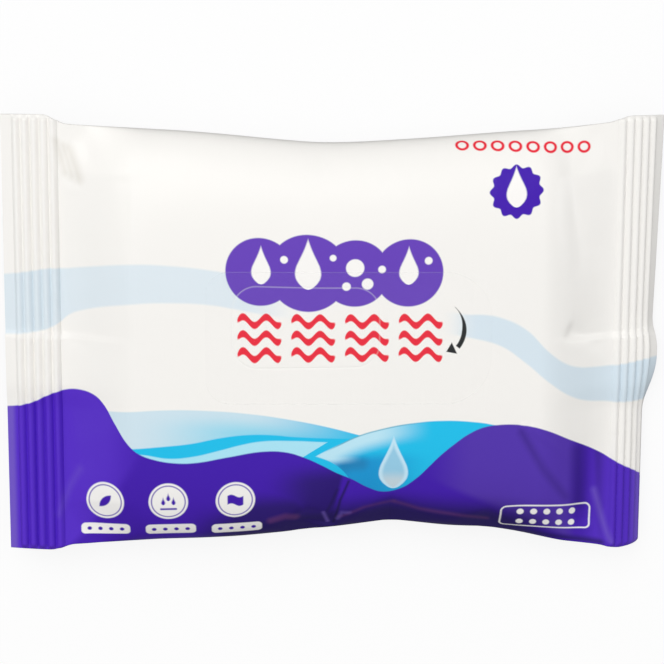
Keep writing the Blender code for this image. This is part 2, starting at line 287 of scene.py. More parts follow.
# folds of the front: start, end, width, depth (below 0 for a ridge), width on the left if unlike
nearEdge, farEdge = -float(halfWidth(film["nearWaistX"], -1)), float(halfWidth(film["farWaistX"], 1))
folds = [
    ((-0.6, nearEdge), (2.8, nearEdge + 15.5), 1.2, 2.4, 4.0),
    ((rightRoot - 5.0, -40.0), (rightRoot - 5.0, -19.0), 2.6, 1.3),
    ((film["farWaistX"], farEdge), (film["farWaistX"], farEdge - 7.0), 2.0, 0.8),
]
for root, inward in ((leftRoot, 1), (rightRoot, -1)):
    for side in (-1, 1):
        edge, top = side * film["tube"] / 2, side * (film["tube"] / 2 - 15.0)
        folds.append(((root, edge), (root + inward * 5.5, top), 1.4, -0.5))
        folds.append(((root + inward * 3.5, edge), (root + inward * 9.0, top), 2.6, 1.2))
    folds.append(((root, 0.0), (root + inward * 8.0, -2.5), 1.8, 0.5))
folds += [
    ((39.5, -18.0), (49.0, -34.5), 0.55, -0.38), ((38.5, -18.0), (45.0, -32.0), 0.8, 0.22),
    ((41.5, -18.5), (53.0, -28.0), 0.6, -0.25), ((-44.0, 33.0), (-43.0, 13.0), 3.4, 0.45),
    ((-56.6, 33.0), (-58.2, 42.0), 0.7, 0.3), ((-55.3, 32.6), (-57.0, 41.5), 0.7, 0.3),
    ((-53.8, 32.2), (-55.6, 41.0), 0.8, 0.35), ((50.0, 2.0), (57.5, -1.5), 1.6, 0.7),
    ((48.5, 43.0), (53.0, 6.0), 3.4, 1.3),
]


def domeShare(across):
    return (1 - clampTo(np.abs(across)) ** film["flatness"]) ** (1 / film["fullness"])


def sideHeight(x, side):
    return blendTo(film["sideHeight"], film["sealHeight"], slopeShare(endRun(x, side)))


def frontHeight(x, y, width):
    across = clampTo(y / width, -1, 1)
    side = sideHeight(x, 1)
    crown = film["height"] - film["crownFall"] * (2 * x / (rightRoot - leftRoot)) ** 2
    height = blendTo(side, crown, domeShare(across))
    for place, reachIn in film["facets"]:
        steep = (film["height"] - film["sideHeight"]) * domeShare(1 - reachIn / width) / reachIn
        cut = film["sideHeight"] + steep * (width + y) + film["facetSpread"] * np.abs(x - place)
        lower = (height + cut - np.hypot(height - cut, film["facetSoftness"])) / 2
        height = np.where(y < 0, lower, height)
    run = slopeShare(endRun(x, across))
    shoulder = film["finShoulder"]
    overFin = np.where(y > 0, 0.0, easeStep((y + film["finWidth"] + shoulder) / shoulder))
    rise = (film["finThickness"] + film["finGap"]) * overFin
    sealed = film["sealHeight"] + film["sealThickness"] / 2 + rise
    fade = domeShare(across) * (1 - endRun(x, across) ** film["foldFade"])
    top = blendTo(height, sealed, run) + sum(foldLine(x, y, *fold) for fold in folds) * fade
    return np.where(np.abs(across) == 1, side, top)


def frontShares():  # places across the front, closer together at its sides
    across = np.linspace(-1, 1, filmSteps["front"] + 1)
    return np.sign(across) * (1 - (1 - np.abs(across)) ** crowding["front"])


def printProfile():  # the print's distance from the middle of the front, the same all along
    shares = frontShares()
    rise = (film["height"] - film["sideHeight"]) * domeShare(shares)
    steps = np.hypot(np.diff(shares) * film["waist"] / 2, np.diff(rise))
    length = np.concatenate([[0], np.cumsum(steps)])
    return (length / length[-1] - 0.5) * film["tube"]


def aroundFilm(x):  # the closed section at each x: places across, heights, print coordinate
    run = slopeShare(endRun(x))
    side = sideHeight(x, 1)
    base = blendTo(0.0, film["sealHeight"] - film["sealThickness"] / 2, run)
    curve = blendTo(film["sideRound"], film["sealThickness"], run)
    across = frontShares()[None, :]
    width = halfWidth(x, across)
    y = width * across
    z = frontHeight(x, y, width)
    far, near = halfWidth(x, 1), halfWidth(x, -1)
    turn = math.pi / 2 * np.arange(1, filmSteps["side"] + 1)[None, :] / filmSteps["side"]
    share = np.arange(1, filmSteps["back"] + 1)[None, :] / filmSteps["back"]
    finShare = np.arange(0, filmSteps["fin"] + 1)[None, :] / filmSteps["fin"]
    finTip, finRoot, over = -film["finWidth"], film["finThickness"], film["finThickness"] + film["finGap"]

    def under(edge):
        return edge - curve + curve * np.cos(turn), blendTo(side, base, np.sin(turn))

    farSide, nearSide = under(far), under(near)
    farShare = 1 - (1 - share) ** crowding["back"]
    farBack = blendTo(far - curve, finRoot, farShare), base + 0 * share
    finUnder = blendTo(finRoot, finTip, finShare[:, 1:]) + 0 * x, base + 0 * finShare[:, 1:]
    finTop = blendTo(finTip, 0.0, finShare) + 0 * x, base + film["finThickness"] + 0 * finShare
    overFin = blendTo(0.0, finTip, finShare) + 0 * x, base + over + 0 * finShare
    nearShare = (share - share[:, :1]) ** crowding["back"]
    nearBack = blendTo(finTip - film["finEase"], curve - near, nearShare), base + 0 * share
    nearUp = -nearSide[0][:, ::-1], nearSide[1][:, ::-1]
    parts = [(y, z), farSide, farBack, finUnder, finTop, overFin, nearBack, nearUp]
    backV = [printProfile() + 0 * x]
    for number, (backY, backZ) in enumerate(parts[1:]):
        backV.append((1 if number < 4 else -1) * film["tube"] - backY + 0 * backZ)
    return [np.concatenate(list(values), axis=1) for values in (*zip(*parts), backV)]


def filmBase():
    body = np.linspace(-1, 1, filmSteps["body"] + 1)
    body = blendTo(body, np.sin(math.pi / 2 * body), crowding["body"])
    body = blendTo(leftRoot, rightRoot, (body + 1) / 2)
    seal = np.linspace(0, film["sealWidth"], filmSteps["seal"] + 1)[1:]
    x = np.concatenate([leftRoot + 0 * seal, body, rightRoot + 0 * seal])[:, None]
    along = np.concatenate([seal[::-1], 0 * body, seal])[:, None]
    end = np.concatenate([0 * seal - 1, 0 * body, 0 * seal + 1])[:, None]
    y, z, v = aroundFilm(x)
    normal = np.zeros(y.shape + (3,))
    normal[..., 2] = 1
    place = x + 0 * y
    for which in (-1, 1):
        rows = end[:, 0] == which
        out, drop, tilt = sealReach(which, y[rows], along[rows])
        place[rows] = x[rows] + which * out
        z[rows] -= drop
        y[rows] *= sealSpread(which, y[rows], along[rows])
        normal[rows, :, 0], normal[rows, :, 2] = which * np.sin(tilt), np.cos(tilt)
    normal[end[:, 0] > 0] *= film["curledShare"]
    normal *= easeStep((film["tube"] / 2 - np.abs(y)) / film["ribEdge"])[..., None]
    toSeal = np.minimum(x - leftRoot, rightRoot - x) + 0 * y
    slack = easeStep(toSeal / film["slackFromSeal"]) * easeStep(z / film["slackFromTable"])
    return {
        "points": np.stack([place, y, z], axis=-1) * mm,
        "print": np.stack([x + end * along + 0 * y, v], axis=-1),
        "sealNormal": normal, "sealAlong": along + 0 * y, "toSeal": toSeal, "slack": slack,
    }


def capTriangles(rim, tolerance=1e-7):  # closes an end: its flat section cut into triangles
    flat = [Vector((y, z)) for y, z in rim]
    edges = [(i, (i + 1) % len(flat)) for i in range(len(flat))]
    return delaunay_2d_cdt(flat, edges, [], 1, tolerance)[2]


sheetValues = {  # what the relief reads at each point, gone from the finished mesh
    "sealAlong": ("FLOAT", "value"), "toSeal": ("FLOAT", "value"), "slack": ("FLOAT", "value"),
    "sealNormal": ("FLOAT_VECTOR", "vector"),
}


def filmMesh(sheet):
    points = sheet["points"]
    rows, around = points.shape[:2]
    index = np.arange(rows * around).reshape(rows, around)
    beside = np.roll(index, -1, axis=1)
    quads = np.stack([index[:-1], index[1:], beside[1:], beside[:-1]], axis=-1).reshape(-1, 4)
    flatSection = aroundFilm(np.array([[leftRoot], [rightRoot]]))
    caps = []
    for row, which in ((0, 0), (rows - 1, 1)):
        rim = np.stack([flatSection[0][which], flatSection[1][which]], axis=-1)
        caps += [[int(index[row, corner]) for corner in face] for face in capTriangles(rim)]
    mesh = bpy.data.meshes.new("filmBase")
    mesh.from_pydata(points.reshape(-1, 3).tolist(), [], quads.tolist() + caps)
    corners = np.empty(len(mesh.loops), int)
    mesh.loops.foreach_get("vertex_index", corners)
    places = sheet["print"].reshape(-1, 2)[corners].ravel()
    mesh.uv_layers.new(name="print").data.foreach_set("uv", places.astype(np.float32))
    for name, (kind, field) in sheetValues.items():
        layer = mesh.attributes.new(name, kind, "POINT")
        layer.data.foreach_set(field, sheet[name].ravel().astype(np.float32))
    shaped = bmesh.new()
    shaped.from_mesh(mesh)
    bmesh.ops.recalc_face_normals(shaped, faces=shaped.faces)
    shaped.to_mesh(mesh)
    shaped.free()
    return mesh


relief = {
    "Rib Count": 5.0, "Rib Height": 0.9 * mm, "Rib Fullness": 0.5,
    "Ribbed Width": film["sealWidth"] - film["ribMargin"],
    "Gather Depth": 0.5 * mm, "Gather Pitch": 5.0 * mm, "Gather Reach": 4.5,
    "Crinkle Depth": 0.25 * mm, "Crinkle Size": 14.0 * mm, "Seed": 3.0,
}
reliefNoise = {"detail": 1.5, "gatherStretch": (0.12, 1.0, 0.12)}


def reliefTree(surface):  # Geometry Nodes: ribs of the seals, gathers beside them, slack film
    sockets = {"Geometry": None, **relief}
    tree, sizes, result = newGroup("GeometryNodeTree", "filmRelief", sockets, {"Geometry": None})

    def calc(operation, *values):
        return mathNode(tree, operation, *values)

    def attribute(name):
        kind = sheetValues[name][0]
        node = addNode(tree, "GeometryNodeInputNamedAttribute", {"Name": name}, data_type=kind)
        return node.outputs["Attribute"]

    def noise(vector, size, depth):
        inputs = {"Vector": vector, "W": sizes["Seed"], "Detail": reliefNoise["detail"],
                  "Scale": calc("DIVIDE", 1.0, size)}
        node = addNode(tree, "ShaderNodeTexNoise", inputs, noise_dimensions="4D")
        return calc("MULTIPLY", calc("SUBTRACT", node.outputs["Fac"], 0.5), depth)

    along = attribute("sealAlong")
    turns = calc("MULTIPLY", calc("DIVIDE", along, sizes["Ribbed Width"]), sizes["Rib Count"])
    wave = calc("COSINE", calc("MULTIPLY", turns, 2 * math.pi))
    wave = calc("POWER", calc("MULTIPLY_ADD", wave, -0.5, 0.5), sizes["Rib Fullness"])
    pressed = calc("LESS_THAN", along, sizes["Ribbed Width"])
    ribs = calc("MULTIPLY", calc("MULTIPLY", wave, pressed), sizes["Rib Height"])
    position = tree.nodes.new("GeometryNodeInputPosition").outputs[0]
    stretched = vectorNode(tree, "MULTIPLY", position, reliefNoise["gatherStretch"])
    reach = calc("MULTIPLY", sizes["Gather Reach"], -1.0)
    fade = calc("EXPONENT", calc("DIVIDE", attribute("toSeal"), reach))
    depth = calc("MULTIPLY", fade, sizes["Gather Depth"])
    gather = noise(stretched, sizes["Gather Pitch"], depth)
    crinkled = noise(position, sizes["Crinkle Size"], sizes["Crinkle Depth"])
    loose = calc("MULTIPLY", calc("ADD", gather, crinkled), attribute("slack"))
    normal = tree.nodes.new("GeometryNodeInputNormal").outputs[0]
    pushed = scaledNode(tree, attribute("sealNormal"), ribs)
    offset = vectorNode(tree, "ADD", pushed, scaledNode(tree, normal, loose))
    moved = {"Geometry": sizes["Geometry"], "Offset": offset}
    moved = addNode(tree, "GeometryNodeSetPosition", moved).outputs[0]
    whole = addNode(tree, "GeometryNodeRealizeInstances", {0: moved}).outputs[0]
    finish = {"Geometry": whole, "Material": surface}
    finish = addNode(tree, "GeometryNodeSetMaterial", finish).outputs[0]
    tree.links.new(finish, result)
    return tree


sharpAngle = math.radians(50)


def plainMesh(shaped):  # the evaluated object as a mesh of its own, with its modifiers gone
    graph = bpy.context.evaluated_depsgraph_get()
    mesh = bpy.data.meshes.new_from_object(shaped.evaluated_get(graph), depsgraph=graph)
    before = shaped.data
    shaped.modifiers.clear()
    shaped.data = mesh
    bpy.data.meshes.remove(before)
    mesh.name = shaped.name
    mesh.shade_smooth()
    mesh.set_sharp_from_angle(angle=sharpAngle)
    return mesh


def makeFilm(surface):
    shaped = newObject("printedFilm", filmMesh(filmBase()))
    modifier = shaped.modifiers.new("relief", "NODES")
    modifier.node_group = reliefTree(surface)
    for item in modifier.node_group.interface.items_tree:
        if item.in_out == "INPUT" and item.name in relief:
            modifier[item.identifier] = relief[item.name]
    mesh = plainMesh(shaped)
    for name in sheetValues:
        mesh.attributes.remove(mesh.attributes[name])
    return shaped


# the clear label over the flap that is cut in the front

label = {
    "length": 60.0, "width": 28.0, "x": 2.8, "y": 1.0, "radius": 5.0, "tabRadius": 10.0,
    "thickness": 0.12, "gap": 0.05, "steps": (96, 44), "dropFrom": 1000.0,
    "look": {"Base Color": (0.95, 0.95, 0.95, 1.0), "Roughness": 0.12},
    "rimRamp": (0.985, 1.0, 0.006, 0.07),  # nearly clear, but for its rim
}


def makeLabel(surface, under):
    drop = BVHTree.FromObject(under, bpy.context.evaluated_depsgraph_get())
    longSteps, crossSteps = label["steps"]
    sheet = bmesh.new()
    bmesh.ops.create_grid(sheet, x_segments=longSteps, y_segments=crossSteps, size=1)
    printMap = sheet.loops.layers.uv.new("print")
    rim = sheet.verts.layers.float.new("rim")
    for vertex in sheet.verts:
        vertex[rim] = max(abs(vertex.co.x), abs(vertex.co.y))
        along = label["length"] / 2 * math.sin(math.pi / 2 * vertex.co.x)
        radius = label["tabRadius"] if along > 0 else label["radius"]
        into = min(1.0, max(0.0, (abs(along) - label["length"] / 2 + radius) / radius))
        half = label["width"] / 2 - radius + radius * math.sqrt(1 - into * into)
        x, y = label["x"] + along, label["y"] + half * vertex.co.y
        hit = drop.ray_cast(Vector((x, y, label["dropFrom"])) * mm, Vector((0, 0, -1)))[0]
        vertex.co = hit + Vector((0, 0, label["gap"] * mm))
    for face in sheet.faces:
        for corner in face.loops:
            corner[printMap].uv = corner.vert.co.xy / mm
    bmesh.ops.recalc_face_normals(sheet, faces=sheet.faces)
    mesh = bpy.data.meshes.new("labelSheet")
    sheet.to_mesh(mesh)
    sheet.free()
    if mesh.polygons[0].normal.z < 0:
        mesh.flip_normals()
    mesh.materials.append(surface)
    shaped = newObject("clearLabel", mesh)
    wall = shaped.modifiers.new("wall", "SOLIDIFY")
    wall.thickness, wall.offset = label["thickness"] * mm, 1
    plainMesh(shaped)
    return shaped


# the print: colours, curves and shapes, in mm from the middle of the front

def linearInk(colour):  # a colour written as 0 to 255 for each channel
    shares = [channel / 255 for channel in colour]
    return tuple(c / 12.92 if c <= 0.04045 else ((c + 0.055) / 1.055) ** 2.4 for c in shares) + (1.0,)


inks = {
    "white": (245, 243, 239), "shade": (216, 211, 201), "disc": (248, 246, 243),
    "purple": (66, 24, 172), "purpleBright": (86, 44, 198), "purpleHaze": (84, 54, 172),
    "purpleDeep": (38, 20, 100), "purpleCreaseShade": (26, 16, 66), "purplePale": (122, 98, 196),
    "plumPaintedHighlight": (104, 56, 116), "cloud": (103, 66, 184), "red": (233, 36, 58), "black": (32, 34, 36),
    "cyan": (30, 192, 236), "aqua": (208, 228, 238), "aquaLow": (146, 216, 238),
    "paleStrip": (172, 229, 246), "leafPale": (190, 231, 246), "leafDeep": (24, 150, 211),
    "leafRim": (48, 160, 190), "smudge": (34, 126, 180), "ribbon": (216, 230, 239),
    "dropRim": (198, 232, 248), "dropBody": (152, 205, 231), "dropFoot": (198, 216, 225),
}
printSpan = {"low": (-80.0, -55.0), "size": (160.0, 110.0)}  # what the curves of the print cover
inkSoftness = 0.28

curves = {
    "wave": [(-78, -14.4), (-70.3, -14.1), (-67.8, -13.8), (-64.4, -12.9), (-61.3, -11.5), (-57.8, -10.6),
             (-54.5, -10.4), (-51.2, -11.2), (-49.2, -12.8), (-46.7, -16.7), (-43.6, -21.2), (-41.5, -22.9),
             (-38.0, -24.2), (-33.7, -24.9), (-30.0, -24.9), (-22.6, -23.8), (-15.1, -22.9), (-10.5, -23.3),
             (-6.6, -24.7), (-2.7, -26.8), (0.6, -28.9), (3.8, -30.6), (7.1, -32.9), (10.4, -34.3), (13.7, -33.6),
             (16.9, -31.2), (20.1, -27.6), (22.2, -25.2), (25.3, -22.3), (28.4, -19.9), (31.5, -18.4),
             (34.6, -17.8), (39.2, -17.6), (44.0, -18.2), (50.7, -20.6), (57.8, -23.6), (61.3, -25.3),
             (69.0, -28.5), (78, -32)],
    "aquaTop": [(-78, -14.6), (-46.7, -14.3), (-35.0, -13.8), (-28.5, -13.9), (-18.8, -14.7), (-9.1, -16.4),
                (-1.1, -18.4), (5.0, -20.4), (12, -23), (78, -40)],
    "stripTop": [(-78, -22.0), (-43.0, -21.8), (-36.8, -21.4), (-30.5, -20.8), (-24.3, -19.7), (-19.0, -19.2),
                 (-13.5, -19.4), (-9.1, -20.0), (0.6, -20.9), (8, -21.4), (78, -24)],
    "stripLow": [(-78, -22.6), (-41.1, -23.0), (-35.2, -23.9), (-30.5, -23.6), (-24.3, -22.3), (-20.0, -21.3),
                 (-15.7, -20.7), (-9.1, -20.9), (-1.7, -21.6), (8, -22.4), (78, -24)],
    "leafTop": [(-78, -55), (-6, -25.8), (-4.1, -24.6), (0.5, -22.4), (5.0, -20.5), (10.2, -19.2), (16.7, -17.9),
                (22.1, -17.2), (28.3, -17.2), (34.2, -18.0), (40, -20), (78, -40)],
    "leafLow": [(-78, -20), (-6, -24.0), (-4.1, -24.6), (-0.3, -26.5), (3.0, -30.2), (6, -37), (78, -54)],
    "ribbonTop": [(-78, 11.6), (-69.7, 12.1), (-58, 13.8), (-52.8, 14.6), (-43.4, 15.8), (-34.6, 15.8),
                  (-23.2, 14.8), (-8, 12.4), (23.9, 6.6), (27.7, 6.0), (31.0, 5.9), (34.4, 5.3), (39.7, 2.9),
                  (45.3, -2.3), (49.2, -4.8), (52, -5.6), (55.2, -5.8), (60, -5.6), (68.7, -4.8), (78, -4.6)],
    "ribbonLow": [(-78, 0.6), (-62.5, 1.2), (-59.0, 2.6), (-56.5, 4.6), (-53.0, 5.9), (-43.5, 7.7), (-34.7, 8.2),
                  (-25.8, 7.9), (-20.6, 7.1), (-13.5, 5.9), (10, 4), (23.9, 1.9), (27.7, 1.2), (34.5, -0.6),
                  (39.9, -4.2), (45.5, -8.6), (50.4, -11.5), (54, -12.6), (57.4, -12.9), (69.3, -13.3), (78, -13.3)],
}
printed = {
    "fieldEnds": (-60.0, 8.0), "paleEnd": {"at": 35.0, "slope": 1.7}, "ribbonSoftness": 0.5,
    "cloud": [((-15.8, 15.2), 7.2), ((-5.8, 15.2), 8.35), ((4.0, 15.2), 7.2), ((15.2, 15.1), 7.2)],
    "cloudDrops": [((-15.6, 14.6), 2.0), ((-5.8, 14.4), 2.7), ((15.2, 14.6), 2.0)],
    "bubbles": [((4.0, 16.4), 1.9), ((2.2, 12.4), 0.9), ((6.6, 12.9), 1.2), ((9.6, 16.0), 0.8),
                ((-10.8, 18.0), 0.8), ((-0.6, 18.6), 0.7), ((19.3, 17.6), 0.8)],
    "ripples": {"from": -20.6, "to": 22.4, "blocks": 4, "gap": 2.0, "heights": (4.7, 1.1, -2.5),
                "swing": 0.9, "length": 4.87, "half": 0.78, "margin": 0.5},
    "beads": {"from": 24.6, "to": 54.2, "count": 8, "height": 42.6, "fall": 0.115,
              "radius": 1.15, "stroke": 0.3},
    "badge": {"centre": (37.6, 31.2), "radius": 5.3, "lobe": 0.35, "lobes": 12.0,
              "dropCentre": (37.6, 30.0), "drop": 2.1},
    "frame": {"centre": (45.7, -38.7), "slope": 0.12, "bow": 0.7, "half": (9.9, 3.0),
              "corner": 1.1, "stroke": 0.17, "dots": (5, 2), "pitch": 2.9, "dot": 0.75},
    "pictograms": {
        "centres": ((-49.2, -33.4), (-35.5, -33.4), (-21.2, -33.5)), "radius": 4.2, "ring": 3.6,
        "stroke": 0.12, "bars": ((-49.4, -40.5), (-35.2, -40.6), (-21.0, -41.0)),
        "bar": {"half": (5.4, 1.5), "corner": 1.0}, "dots": (-3.6, -1.2, 1.2, 3.6), "dot": 0.5,
        "leaf": {"shift": 1.25, "radius": 2.6},
        "drops": ((0, 0.6), (-1.1, -0.35), (1.1, -0.35)), "drop": 0.42,
        "waterFall": 1.7, "water": {"half": (1.8, 0.22), "corner": 0.2},
        "cloth": {"half": (1.7, 1.05), "corner": 0.15}, "clothWave": 1.7, "clothSwing": 0.35,
    },
    "drop": {"centre": (12.4, -30.4), "radius": 3.1, "foot": (-28.5, -32.0), "rim": (1.0, 0.2)},
    "arrow": {"centre": (20.6, 3.0), "radius": 6.35, "tail": 47.0, "head": -38.0, "half": 0.5,
              "thin": 0.03, "tip": (23.2, -1.9), "turn": 25.0, "size": (1.9, 1.35),
              "softness": 0.2},
    "flap": {"centre": (-6.2, 3.4), "half": (15.4, 8.7), "corner": 5.2, "groove": 0.30,
             "depth": 0.05, "line": 0.20, "softness": 0.3, "strength": 0.3},
    # painted shade of folds in the white: softness, strength, radius and places
    "paintedFoldShade": [
        (1.6, 0.45, 0.2, (-58.5, 39.5), (-56.8, 33.4)),
        (1.6, 0.45, 0.2, (-57.1, 39.0), (-55.3, 32.8)),
        (1.8, 0.5, 0.3, (-55.9, 38.6), (-53.8, 32.4)),
        (7.0, 0.8, 2.6, (54.5, 43.0), (51.0, 21.0)),
        (2.4, 0.6, 0.4, (51.0, 1.2), (57.5, -1.2)),
    ],
    # painted highlights and shade along the creases of the purple: the ink first, then as for the painted fold shade
    "creases": [
        # painted warm highlights along the ridges of the near creases
        ("plumPaintedHighlight", 1.0, 0.6, 0.6, (-13.6, -39.6), (-10.6, -38.8), (-8.4, -39.4)),
        ("plumPaintedHighlight", 0.9, 0.5, 0.1, (1.0, -40.6), (6.3, -38.2), (12.7, -37.2)),
        ("plumPaintedHighlight", 1.0, 0.52, 0.2, (12.9, -37.4), (18.0, -38.9), (25.0, -39.7), (33.0, -41.2)),
        # painted shade in the buckle crease
        ("purpleCreaseShade", 0.45, 0.8, 0.14, (-0.2, -43.0), (1.2, -35.7), (2.9, -31.0)),
        ("purpleCreaseShade", 0.6, 0.5, 0.12, (-1.6, -38.6), (0.5, -33.0)),
        # painted highlights beside the buckle and along the corner folds
        ("purplePale", 0.6, 0.55, 0.2, (-2.4, -38.9), (-1.4, -42.4)),
        ("purplePale", 0.7, 0.35, 0.25, (0.7, -41.4), (1.6, -39.2), (3.2, -39.4)),
        ("purplePale", 1.3, 0.5, 0.15, (56.4, -31.5), (60.4, -43.5)),
        ("purplePale", 1.6, 0.25, 0.1, (-59.5, -36.0), (-57.0, -30.5), (-54.8, -27.0)),
        # painted shade in the valleys near the right end and along the near edge
        ("purpleDeep", 1.4, 0.3, 0.5, (39.6, -19.3), (44.3, -26.7), (49.6, -32.5)),
        ("purpleDeep", 1.5, 0.8, 0.7, (40.0, -44.2), (50.0, -43.9), (58.0, -44.6)),
        ("purpleDeep", 2.2, 0.5, 0.9, (52.3, -23.0), (52.8, -34.0)),
    ],
}

# how the fields change: an ink, then others laid over it. A list is one mask, the product of its
# ramps. Each ramp goes along u, v or the height above a curve, beside a line or into a bar.
ribbonSeen = [("u", -6.0, -20.0, 0.0, 0.8)], [("u", 22.0, 30.0)]
shades = {
    "field": (
        "aqua",
        ("aquaLow", [("aquaTop", -0.3, -4.5, 0.15, 1.0), ("u", -44.0, -16.0)]),
        ("cyan", [("u", -20.0, 8.0)]),
    ),
    "leaf": (
        "cyan",
        ("leafDeep", [("v", -23.8, -27.0), ("u", 22.0, 7.0)]),
        ("smudge", [("bar", (3.8, -27.0), (2.8, 1.1), 1.0, -1.5, 1.0, 0.0, 0.75)]),
        ("leafPale", [("leafTop", -5.2, -1.6), ("u", 21.0, 8.0)],
         [("u", 6.0, -1.0), ("v", -27.2, -25.2)]),
        ("leafRim", [("leafTop", -0.45, -0.05, 0.0, 0.8), ("u", 22.0, 12.0), ("u", -3.0, 2.0)]),
    ),
    "base": (
        "purple",
        # painted light: the purple lighter on the slopes at both ends
        ("purpleBright", [("beside", (-46.0, -31.0), (-41.0, -24.0), -1.0, 2.0), ("u", -38.0, -50.0)],
         [("u", 54.0, 58.0, 0.0, 0.8)]),
        # painted sheen: a milky reflection on the purple towards the right end
        ("purpleHaze", [("beside", (20.0, -31.0), (39.0, -39.0), -0.8, 1.6),
                        ("u", 18.0, 30.0, 0.0, 0.9), ("u", 53.0, 49.5, 0.15, 1.0)]),
        # painted shade: the purple darker along the near edge, beside the buckle crease, in a patch near the edge
        # and at the right end
        ("purpleDeep",
         [("v", -33.0, -41.0), ("u", -34.0, -20.0), ("u", 52.0, 38.0)],
         [("beside", (-0.4, -42.0), (1.6, -31.0), -0.3, 0.9), ("u", -16.0, -4.0, 0.0, 0.8),
          ("v", -25.0, -31.0)],
         [("bar", (-14.5, -38.0), (8.0, 3.0), 2.9, -4.0, 1.5, 0.0, 0.85)],
         [("beside", (58.0, -47.0), (56.6, -30.0), 0.6, -1.4), ("u", 59.5, 56.0, 0.0, 0.6)]),
        # painted highlights on the outer edges of both seals
        ("purplePale", [("u", -68.4, -69.8, 0.0, 0.7)], [("u", 64.5, 68.5, 0.0, 0.6)]),
    ),
}


# shapes of the print: each gives the distance inside it, in mm

def discInside(tree, sizes, offset):
    return mathNode(tree, "SUBTRACT", sizes["Radius"], vectorNode(tree, "LENGTH", offset))


def barInside(tree, sizes, offset):
    beyond = vectorNode(tree, "SUBTRACT", vectorNode(tree, "ABSOLUTE", offset), sizes["Half Size"])
    reach = [mathNode(tree, "ADD", axis, sizes["Corner"]) for axis in splitNode(tree, beyond)]
    out = [mathNode(tree, "MAXIMUM", axis, 0.0) for axis in reach]
    squares = [mathNode(tree, "MULTIPLY", axis, axis) for axis in out]
    corner = mathNode(tree, "SQRT", mathNode(tree, "ADD", *squares))
    within = mathNode(tree, "MINIMUM", mathNode(tree, "MAXIMUM", *reach), 0.0)
    return mathNode(tree, "SUBTRACT", sizes["Corner"], mathNode(tree, "ADD", corner, within))


dropOutline = {  # half its width along its height, from the foot up to the point
    "height": 4.0, "slant": 0.8,
    "points": [(0, 0), (0.02, 0.28), (0.07, 0.52), (0.15, 0.79), (0.25, 0.97), (0.32, 1.0),
               (0.42, 0.94), (0.55, 0.74), (0.7, 0.46), (0.85, 0.21), (0.95, 0.07), (1, 0)],
}


def dropInside(tree, sizes, offset):
    x, y = splitNode(tree, offset)
    share = 1 / dropOutline["height"]
    up = mathNode(tree, "MULTIPLY_ADD", mathNode(tree, "DIVIDE", y, sizes["Radius"]), share, share)
    half = mathNode(tree, "MULTIPLY", curveNode(tree, up, dropOutline["points"]), sizes["Radius"])
    beside = mathNode(tree, "SUBTRACT", half, mathNode(tree, "ABSOLUTE", x))
    return mathNode(tree, "MULTIPLY", beside, dropOutline["slant"])


def streakInside(tree, sizes, offset):  # a line with round ends
    towards = vectorNode(tree, "DOT_PRODUCT", offset, sizes["Reach"])
    length = vectorNode(tree, "DOT_PRODUCT", sizes["Reach"], sizes["Reach"])
    share = mathNode(tree, "MAXIMUM", mathNode(tree, "DIVIDE", towards, length), 0.0)
    nearest = scaledNode(tree, sizes["Reach"], mathNode(tree, "MINIMUM", share, 1.0))
    away = vectorNode(tree, "DISTANCE", offset, nearest)
    return mathNode(tree, "SUBTRACT", sizes["Radius"], away)


shapeKinds = {
    "disc": (discInside, {"Radius": 1.0}),
    "bar": (barInside, {"Half Size": (2.0, 1.0, 0.0), "Corner": 0.5}),
    "drop": (dropInside, {"Radius": 1.0}),
    "streak": (streakInside, {"Reach": (1.0, 0.0, 0.0), "Radius": 1.0}),
}


def shapeGroup(name, inside, sizes):
    inputs = {"Print": (0.0, 0.0, 0.0), "Centre": (0.0, 0.0, 0.0), **sizes}
    tree, sockets, result = newGroup("ShaderNodeTree", name, inputs, {"Inside": 0.0})
    offset = vectorNode(tree, "SUBTRACT", sockets["Print"], sockets["Centre"])
    tree.links.new(inside(tree, sockets, offset), result)
    return tree


